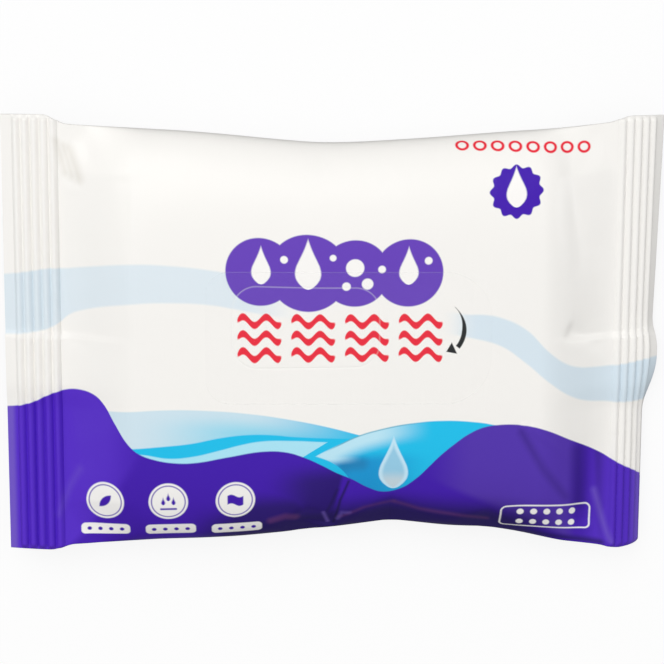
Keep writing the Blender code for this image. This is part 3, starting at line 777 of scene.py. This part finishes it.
def makePrint(tree):  # gives the print's colour, the distance inside the flap and the place
    groups = {kind: shapeGroup(kind + "Shape", *parts) for kind, parts in shapeKinds.items()}
    place = addNode(tree, "ShaderNodeUVMap", uv_map="print").outputs[0]
    u, v = splitNode(tree, place)

    def calc(operation, *values):
        return mathNode(tree, operation, *values)

    def chained(operation, parts):
        share = parts[0]
        for part in parts[1:]:
            share = calc(operation, share, part)
        return share

    def times(*parts):
        return chained("MULTIPLY", parts)

    def both(*parts):
        return chained("MINIMUM", parts)

    def either(*parts):
        return chained("MAXIMUM", parts)

    def above(name):  # how far a place is above a curve of the print
        (lowU, lowV), (spanU, spanV) = printSpan["low"], printSpan["size"]
        points = [((pu - lowU) / spanU, (pv - lowV) / spanV) for pu, pv in curves[name]]
        share = calc("MULTIPLY_ADD", u, 1 / spanU, -lowU / spanU)
        level = calc("MULTIPLY_ADD", curveNode(tree, share, points), spanV, lowV)
        return calc("SUBTRACT", v, level)

    heights = {name: above(name) for name in curves}
    sources = {"u": u, "v": v, **heights}

    def below(name):
        return calc("MULTIPLY", heights[name], -1.0)

    def beside(first, second):  # how far left of the line from one place to another
        left = Vector((first[1] - second[1], second[0] - first[0], 0.0)).normalized()
        towards = vectorNode(tree, "DOT_PRODUCT", place, tuple(left))
        return calc("SUBTRACT", towards, left.dot(Vector((*first, 0.0))))

    def between(low, high):  # inside a part of the length
        return both(calc("SUBTRACT", u, low), calc("SUBTRACT", high, u))

    def repeated(start, pitch):  # how far along the length, from each multiple of the pitch
        part = calc("SUBTRACT", u, start)
        whole = calc("FLOOR", calc("DIVIDE", part, pitch))
        return calc("SUBTRACT", part, calc("MULTIPLY", whole, pitch))

    def bearing(centre):
        return calc("ARCTAN2", calc("SUBTRACT", v, centre[1]), calc("SUBTRACT", u, centre[0]))

    def shape(kind, where, centre, **sizes):
        node = addNode(tree, "ShaderNodeGroup", node_tree=groups[kind])
        feed(tree, node.inputs["Print"], where)
        for name, value in {"centre": centre, **sizes}.items():
            socket = node.inputs[{"half": "Half Size"}.get(name, name.title())]
            socket.default_value = (*value, 0) if isinstance(value, tuple) else value
        return node.outputs["Inside"]

    def several(kind, items):
        return [shape(kind, place, centre, radius=radius) for centre, radius in items]

    def stroke(inside, half):
        return calc("SUBTRACT", half, calc("ABSOLUTE", inside))

    def cover(inside, softness=inkSoftness):
        inputs = {0: inside, 1: 1 / softness, 2: 0.5}
        node = addNode(tree, "ShaderNodeMath", inputs, operation="MULTIPLY_ADD", use_clamp=True)
        return node.outputs[0]

    def ramp(value, start, stop, low=0.0, high=1.0):
        return rampNode(tree, value, (start, stop, low, high))

    def mixed(share, first, second):
        first, second = (
            linearInk(inks[value]) if isinstance(value, str) else value for value in (first, second)
        )
        inputs = {0: share, 6: first, 7: second}
        return addNode(tree, "ShaderNodeMix", inputs, data_type="RGBA").outputs[2]

    def painted(colour, inside, ink):
        return mixed(cover(inside), colour, ink)

    def rampOf(kind, *values):
        if kind == "beside":
            return ramp(beside(*values[:2]), *values[2:])
        if kind == "bar":
            centre, half, corner, *span = values
            return ramp(shape("bar", place, centre, half=half, corner=corner), *span)
        return ramp(sources[kind], *values)

    def mask(*products):
        return either(*[times(*[rampOf(*part) for part in parts]) for parts in products])

    def layered(colour, *layers):
        for ink, *masks in layers:
            colour = mixed(mask(*masks), colour, ink)
        return colour

    def streaks(creases):
        shares = []
        for soft, strength, radius, *points in creases:
            for start, end in zip(points, points[1:]):
                reach = (end[0] - start[0], end[1] - start[1])
                inside = shape("streak", place, start, reach=reach, radius=radius)
                shares.append(ramp(inside, -soft, soft / 2, 0.0, strength))
        return either(*shares)

    # painted shade of folds over the white
    colour = mixed(streaks(printed["paintedFoldShade"]), "white", "shade")

    # the pale field, the cyan strip and the pale strip, and white above the leaf
    fieldEnds, paleEnd = printed["fieldEnds"], printed["paleEnd"]
    field = times(cover(below("aquaTop")), cover(between(*fieldEnds)))
    colour = mixed(field, colour, layered(*shades["field"]))
    colour = painted(colour, below("stripTop"), "cyan")
    slant = calc("SUBTRACT", calc("MULTIPLY_ADD", v, paleEnd["slope"], paleEnd["at"]), u)
    colour = painted(colour, both(below("stripLow"), slant), "paleStrip")
    beyond = calc("SUBTRACT", u, fieldEnds[1])
    colour = mixed(times(cover(beyond), cover(heights["leafTop"])), colour, "white")

    # the ribbon fades out under the title and comes in again beside the arrow
    ribbon = both(below("ribbonTop"), heights["ribbonLow"])
    ribbon = times(cover(ribbon, printed["ribbonSoftness"]), mask(*ribbonSeen))
    colour = mixed(ribbon, colour, "ribbon")

    colour = painted(colour, both(below("leafTop"), heights["leafLow"]), layered(*shades["leaf"]))

    # the purple base, with painted light, sheen, highlight and shade, and painted highlights and shade along its
    # creases
    tone = layered(*shades["base"])
    for ink, *crease in printed["creases"]:
        tone = mixed(streaks([crease]), tone, ink)
    colour = painted(colour, below("wave"), tone)

    # the drop
    spot = printed["drop"]
    drop = shape("drop", place, spot["centre"], radius=spot["radius"])
    bead = mixed(ramp(v, *spot["foot"]), "dropBody", "dropFoot")
    bead = mixed(ramp(drop, *spot["rim"]), bead, "dropRim")
    colour = painted(colour, drop, bead)

    # the cloud of discs with its drops and bubbles
    colour = painted(colour, either(*several("disc", printed["cloud"])), "cloud")
    motifs = several("drop", printed["cloudDrops"]) + several("disc", printed["bubbles"])
    colour = painted(colour, either(*motifs), "disc")

    # red ripples in four blocks
    band = printed["ripples"]
    pitch = (band["to"] - band["from"] + band["gap"]) / band["blocks"]
    inBlock = repeated(band["from"], pitch)
    half = (pitch - band["gap"]) / 2
    wave = calc("SINE", calc("MULTIPLY", inBlock, 2 * math.pi / band["length"]))
    level = calc("SUBTRACT", v, calc("MULTIPLY", wave, band["swing"]))
    where, size = joinNode(tree, inBlock, level), {"half": (half, band["half"]), "corner": band["half"]}
    rows = [shape("bar", where, (half, height), **size) for height in band["heights"]]
    inside = between(band["from"] - band["margin"], band["to"] + band["margin"])
    colour = mixed(times(cover(either(*rows)), cover(inside)), colour, "red")

    # a row of small red rings
    row = printed["beads"]
    pitch = (row["to"] - row["from"]) / row["count"]
    level = calc("MULTIPLY_ADD", calc("SUBTRACT", u, row["from"]), row["fall"], v)
    where = joinNode(tree, repeated(row["from"], pitch), level)
    bead = shape("disc", where, (pitch / 2, row["height"]), radius=row["radius"])
    inside = between(row["from"], row["to"])
    colour = mixed(times(cover(stroke(bead, row["stroke"])), cover(inside)), colour, "red")

    # the badge, with a scalloped edge
    badge = printed["badge"]
    lobes = calc("COSINE", calc("MULTIPLY", bearing(badge["centre"]), badge["lobes"]))
    disc = shape("disc", place, badge["centre"], radius=badge["radius"])
    colour = painted(colour, calc("MULTIPLY_ADD", lobes, badge["lobe"], disc), "purple")
    mark = shape("drop", place, badge["dropCentre"], radius=badge["drop"])
    colour = painted(colour, mark, "disc")

    # the frame with its ten dots, on a slope and bowed
    box = printed["frame"]
    (boxU, boxV), (columns, rows) = box["centre"], box["dots"]
    away = calc("SUBTRACT", u, boxU)
    share = calc("DIVIDE", away, box["half"][0])
    rise = calc("MULTIPLY_ADD", times(share, share), -box["bow"], box["bow"])
    rise = calc("MULTIPLY_ADD", away, box["slope"], rise)
    where = joinNode(tree, u, calc("SUBTRACT", v, rise))
    outline = shape("bar", where, box["centre"], half=box["half"], corner=box["corner"])
    marks = [stroke(outline, box["stroke"])]
    for column in range(columns):
        for row in range(rows):
            dotU = boxU + (column - (columns - 1) / 2) * box["pitch"]
            dotV = boxV + (row - (rows - 1) / 2) * box["pitch"]
            marks.append(shape("disc", where, (dotU, dotV), radius=box["dot"]))
    colour = painted(colour, either(*marks), "disc")

    # three round pictograms: a leaf, drops over water and a cloth
    signs = printed["pictograms"]

    def leafMarks(x, y):
        shift, radius = signs["leaf"]["shift"], signs["leaf"]["radius"]
        ends = ((x - shift, y + shift), radius), ((x + shift, y - shift), radius)
        return [both(*several("disc", ends))]

    def waterMarks(x, y):
        drops = [((x + dx, y + dy), signs["drop"]) for dx, dy in signs["drops"]]
        water = shape("bar", place, (x, y - signs["waterFall"]), **signs["water"])
        return several("drop", drops) + [water]

    def clothMarks(x, y):
        wave = calc("SINE", calc("MULTIPLY", calc("SUBTRACT", u, x), signs["clothWave"]))
        level = calc("ADD", v, calc("MULTIPLY", wave, signs["clothSwing"]))
        return [shape("bar", joinNode(tree, u, level), (x, y), **signs["cloth"])]

    kinds = leafMarks, waterMarks, clothMarks
    for marksOf, centre, (barU, barV) in zip(kinds, signs["centres"], signs["bars"]):
        disc = shape("disc", place, centre, radius=signs["radius"])
        bar = shape("bar", place, (barU, barV), **signs["bar"])
        colour = painted(colour, either(disc, bar), "disc")
        ring = shape("disc", place, centre, radius=signs["ring"])
        dots = [((barU + dot, barV), signs["dot"]) for dot in signs["dots"]]
        marks = [stroke(ring, signs["stroke"]), *marksOf(*centre), *several("disc", dots)]
        colour = painted(colour, either(*marks), "purple")

    # the opening arrow: a tapered crescent with a head
    bent = printed["arrow"]
    turn, radius = bearing(bent["centre"]), bent["radius"]
    tail, head, aim = (math.radians(bent[name]) for name in ("tail", "head", "turn"))
    width = ramp(turn, tail, (tail + 2 * head) / 3, bent["thin"], bent["half"])
    arc = calc("ABSOLUTE", shape("disc", place, bent["centre"], radius=radius))
    shaft = both(calc("SUBTRACT", width, arc),
                 calc("MULTIPLY", calc("SUBTRACT", tail, turn), radius),
                 calc("MULTIPLY", calc("SUBTRACT", turn, head), radius))
    fromTip = vectorNode(tree, "SUBTRACT", place, (*bent["tip"], 0.0))
    along = vectorNode(tree, "DOT_PRODUCT", fromTip, (math.cos(aim), math.sin(aim), 0.0))
    across = vectorNode(tree, "DOT_PRODUCT", fromTip, (-math.sin(aim), math.cos(aim), 0.0))
    long, wide = bent["size"]
    point = calc("SUBTRACT", calc("MULTIPLY", along, wide / long), calc("ABSOLUTE", across))
    point = both(point, calc("SUBTRACT", long, along))
    colour = mixed(cover(either(shaft, point), bent["softness"]), colour, "black")

    # the flap's cut shows as a thin painted highlight line
    cut = printed["flap"]
    flap = shape("bar", place, cut["centre"], half=cut["half"], corner=cut["corner"])
    pale = cover(stroke(flap, cut["line"] / 2), cut["softness"])
    colour = mixed(times(pale, cut["strength"]), colour, "disc")
    return colour, flap, place


crinkle = {
    "Streak Across": 2.6, "Streak Along": 15.0, "Streak Depth": 0.050,
    "Speck Size": 3.4, "Speck Depth": 0.035,
}
crinkleDetail = {"streaks": 2.0, "specks": 1.0}


def crinkleGroup():  # fine crinkles of the film, in mm: streaks across the pack and dimples
    inputs = {"Print": (0.0, 0.0, 0.0), **crinkle}
    tree, sizes, result = newGroup("ShaderNodeTree", "filmCrinkle", inputs, {"Height": 0.0})
    u, v = splitNode(tree, sizes["Print"])

    def noise(across, along, depth, detail):
        shares = mathNode(tree, "DIVIDE", u, across), mathNode(tree, "DIVIDE", v, along)
        inputs = {"Vector": joinNode(tree, *shares), "Scale": 1.0, "Detail": detail}
        node = addNode(tree, "ShaderNodeTexNoise", inputs)
        return mathNode(tree, "MULTIPLY", node.outputs["Fac"], depth)

    streaks = noise(sizes["Streak Across"], sizes["Streak Along"], sizes["Streak Depth"],
                    crinkleDetail["streaks"])
    specks = noise(sizes["Speck Size"], sizes["Speck Size"], sizes["Speck Depth"],
                   crinkleDetail["specks"])
    tree.links.new(mathNode(tree, "ADD", streaks, specks), result)
    return tree


def addCrinkle(tree, shader, place, cut=0.0):
    group = bpy.data.node_groups.get("filmCrinkle") or crinkleGroup()
    node = addNode(tree, "ShaderNodeGroup", node_tree=group)
    feed(tree, node.inputs["Print"], place)
    height = mathNode(tree, "SUBTRACT", node.outputs["Height"], cut)
    bump = addNode(tree, "ShaderNodeBump", {"Distance": mm, "Height": height})
    tree.links.new(bump.outputs[0], shader.inputs["Normal"])


def filmSurface():
    surface, tree, shader = newSurface("printedFilm", film["look"])
    colour, flap, place = makePrint(tree)
    tree.links.new(colour, shader.inputs["Base Color"])
    cut, away = printed["flap"], mathNode(tree, "ABSOLUTE", flap)
    groove = mathNode(tree, "MULTIPLY_ADD", away, -1 / cut["groove"], 1.0)
    groove = mathNode(tree, "MULTIPLY", mathNode(tree, "MAXIMUM", groove, 0.0), cut["depth"])
    addCrinkle(tree, shader, place, groove)
    return surface


def labelSurface():
    surface, tree, shader = newSurface("clearLabel", label["look"])
    addCrinkle(tree, shader, addNode(tree, "ShaderNodeUVMap", uv_map="print").outputs[0])
    rim = addNode(tree, "ShaderNodeAttribute", attribute_name="rim").outputs["Fac"]
    tree.links.new(rampNode(tree, rim, label["rimRamp"], "LINEAR"), shader.inputs["Alpha"])
    return surface


filmPiece = makeFilm(filmSurface())
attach(filmPiece, "root")
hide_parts("film_pack")
print("film pack:", len(filmPiece.data.polygons), "faces")

labelPiece = makeLabel(labelSurface(), filmPiece)
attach(labelPiece, "root")
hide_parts("reseal_label")
print("label:", len(labelPiece.data.polygons), "faces")


# floor, light and camera

studio = {
    "floorSize": 4.0, "floorGrey": 0.9, "floorDim": 0.35, "floorWhite": 0.87, "floorGloss": 0.16,
    "floorLook": {"Roughness": 0.9, "Specular IOR Level": 0.0},
    "worldBright": 0.74, "worldDim": 0.10, "glossBright": 0.9, "glossDim": 0.10,
    "worldTowards": (-0.1, 0.1, 0.95), "worldFocus": 2.0,
    "cameraPlace": (-8.95, 64.21, 397.31), "cameraTurn": (-9.259, -1.201, 0.20),
    "lens": 99.71, "sensor": 36, "clip": (0.01, 20),
    "lamps": {
        "windowLight": {"place": (-0.28, 0.46, 0.72), "size": 0.66, "watts": 4.2},
        "leftLight": {"place": (-0.70, -0.05, 0.30), "size": 0.25, "watts": 0.25},
        "rightLight": {"place": (0.70, 0.10, 0.30), "size": 0.25, "watts": 1.0},
    },
}


def seenRays(tree):  # 1 for what the camera or clear film sees, and 1 for a reflection
    rays = tree.nodes.new("ShaderNodeLightPath").outputs
    seen = mathNode(tree, "MAXIMUM", rays["Is Camera Ray"], rays["Is Transmission Ray"])
    return seen, rays["Is Glossy Ray"]


def makeFloor():  # grey to other rays, nearly white to the camera, dim in reflections
    size = studio["floorSize"]
    corners = [(-size, -size, 0), (size, -size, 0), (size, size, 0), (-size, size, 0)]
    mesh = bpy.data.meshes.new("floor")
    mesh.from_pydata(corners, [], [(0, 1, 2, 3)])
    surface, tree, shader = newSurface("floor", studio["floorLook"])
    seen, gloss = seenRays(tree)
    grey = spanNode(tree, seen, studio["floorDim"], studio["floorGrey"])
    tree.links.new(grey, shader.inputs["Base Color"])
    strength = spanNode(tree, gloss, 1.0, studio["floorGloss"])
    glow = addNode(tree, "ShaderNodeEmission", {"Strength": strength}).outputs[0]
    share = mathNode(tree, "MULTIPLY", seen, studio["floorWhite"])
    share = mathNode(tree, "MAXIMUM", share, gloss)
    blend = addNode(tree, "ShaderNodeMixShader", {0: share, 1: shader.outputs[0], 2: glow})
    tree.links.new(blend.outputs[0], tree.nodes["Material Output"].inputs["Surface"])
    mesh.materials.append(surface)
    newObject("floor", mesh)


def makeWorld():  # white to the camera, bright towards the window and dim behind the camera
    world = bpy.data.worlds.new("studio")
    bpy.context.scene.world = world
    world.use_nodes = True
    tree = world.node_tree
    around = tree.nodes.new("ShaderNodeTexCoord").outputs["Generated"]
    towards = tuple(Vector(studio["worldTowards"]).normalized())
    facing = spanNode(tree, vectorNode(tree, "DOT_PRODUCT", around, towards), 0.5, 1.0)
    glow = mathNode(tree, "POWER", facing, studio["worldFocus"])
    lit = spanNode(tree, glow, studio["worldDim"], studio["worldBright"])
    gloss = spanNode(tree, glow, studio["glossDim"], studio["glossBright"])
    seen, mirrored = seenRays(tree)
    lit = mathNode(tree, "MULTIPLY", lit, mathNode(tree, "SUBTRACT", 1.0, mirrored))
    gloss = mathNode(tree, "MULTIPLY", gloss, mirrored)
    strength = mathNode(tree, "MAXIMUM", mathNode(tree, "ADD", gloss, lit), seen)
    background = tree.nodes["Background"].inputs
    feed(tree, background["Strength"], strength)
    feed(tree, background["Color"], (1, 1, 1, 1))


def makeLamps():
    for name, lamp in studio["lamps"].items():
        light = bpy.data.lights.new(name, "AREA")
        light.size, light.energy = lamp["size"], lamp["watts"]
        holder = newObject(name, light)
        holder.location = lamp["place"]
        holder.rotation_euler = (-Vector(lamp["place"])).to_track_quat("-Z", "Y").to_euler()


def makeCamera():
    camera = newObject("camera", bpy.data.cameras.new("camera"))
    camera.data.lens, camera.data.sensor_width = studio["lens"], studio["sensor"]
    camera.data.clip_start, camera.data.clip_end = studio["clip"]
    camera.location = Vector(studio["cameraPlace"]) * mm
    camera.rotation_euler = [math.radians(turn) for turn in studio["cameraTurn"]]
    bpy.context.scene.camera = camera


makeFloor()
makeWorld()
makeLamps()
makeCamera()
bpy.context.scene.view_settings.view_transform = "Standard"
print("studio ready")
